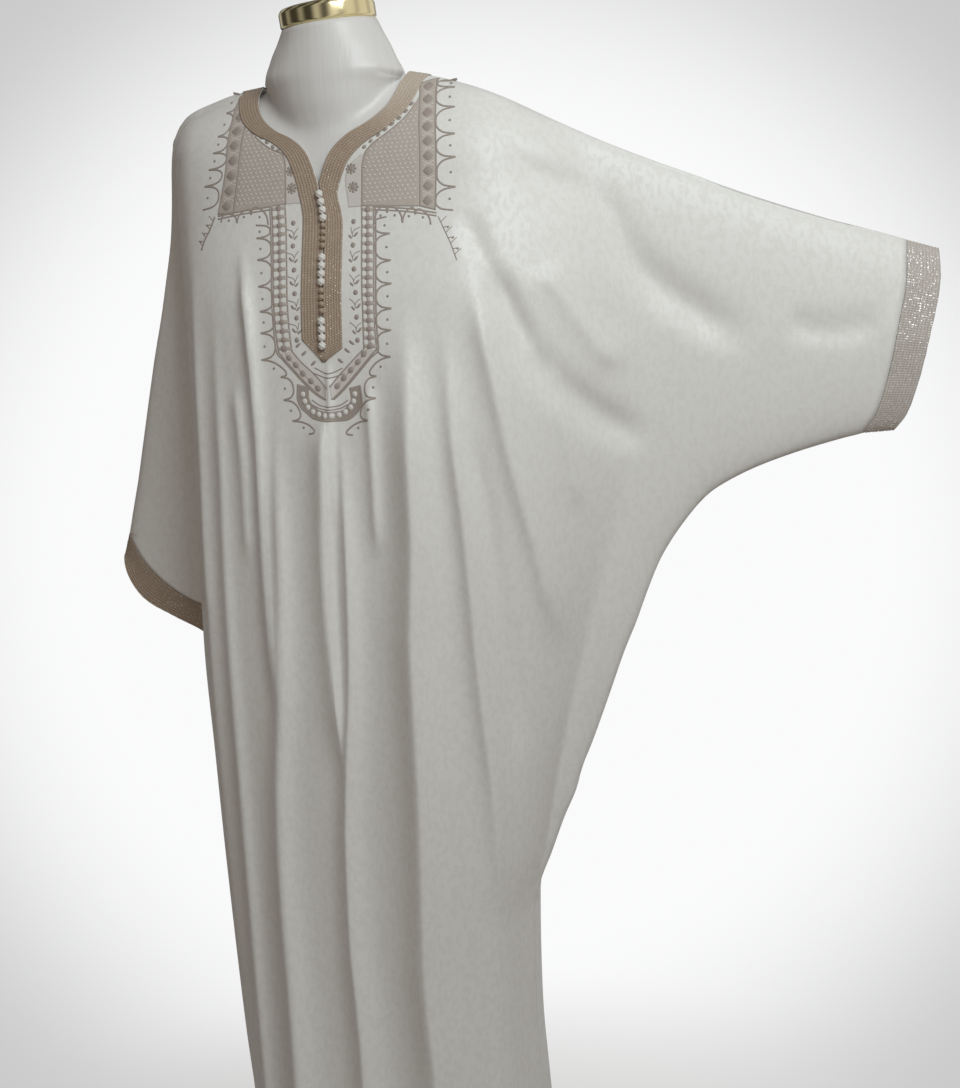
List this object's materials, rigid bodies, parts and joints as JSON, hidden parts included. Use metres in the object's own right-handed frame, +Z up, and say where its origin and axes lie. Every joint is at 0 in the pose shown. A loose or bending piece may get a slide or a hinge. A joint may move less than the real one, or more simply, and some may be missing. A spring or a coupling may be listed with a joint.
{
  "type": "embroidered jubba on a dress form",
  "caption": "Loose full-length jubba with batwing sleeves, a braided neck slit closed by tied buttons and braided cuffs, worn by a limbless dress form on a round stand; one sleeve is held out.",
  "frame": {"origin": "on the floor under the middle of the stand's base", "axes": "+Z up along the pole, -Y towards the garment's front, +X towards the sleeve that is held out"},
  "size_m": [0.9687, 0.36, 1.5827],
  "materials": {
    "ivory_cloth": "soft sheen with a faint tone-on-tone figure",
    "taupe_braid": "woven cord braid",
    "ivory_silk": "tied silk cord",
    "gloss_form": "glossy white fibreglass",
    "polished_brass": "polished"
  },
  "bodies": {
    "root": {"front": "ivory_cloth", "back": "ivory_cloth", "braid_left": "taupe_braid", "braid_right": "taupe_braid", "braid_back": "taupe_braid", "cuff_left": "taupe_braid", "cuff_right": "taupe_braid", "form_torso": "gloss_form", "neck_cap": "polished_brass", "finial": "polished_brass", "pole": "polished_brass", "base": "polished_brass", "knot_white_01": "ivory_silk", "knot_white_02": "ivory_silk", "knot_white_03": "ivory_silk", "knot_white_04": "ivory_silk", "knot_white_05": "ivory_silk", "knot_white_06": "ivory_silk", "knot_white_07": "ivory_silk", "knot_white_08": "ivory_silk", "knot_white_09": "ivory_silk", "knot_white_10": "ivory_silk", "knot_white_11": "ivory_silk", "knot_white_12": "ivory_silk", "knot_beige_01": "taupe_braid", "knot_beige_02": "taupe_braid", "knot_beige_03": "taupe_braid", "knot_beige_04": "taupe_braid", "knot_beige_05": "taupe_braid", "knot_beige_06": "taupe_braid", "knot_beige_07": "taupe_braid", "knot_beige_08": "taupe_braid"}
  },
  "joints": []
}
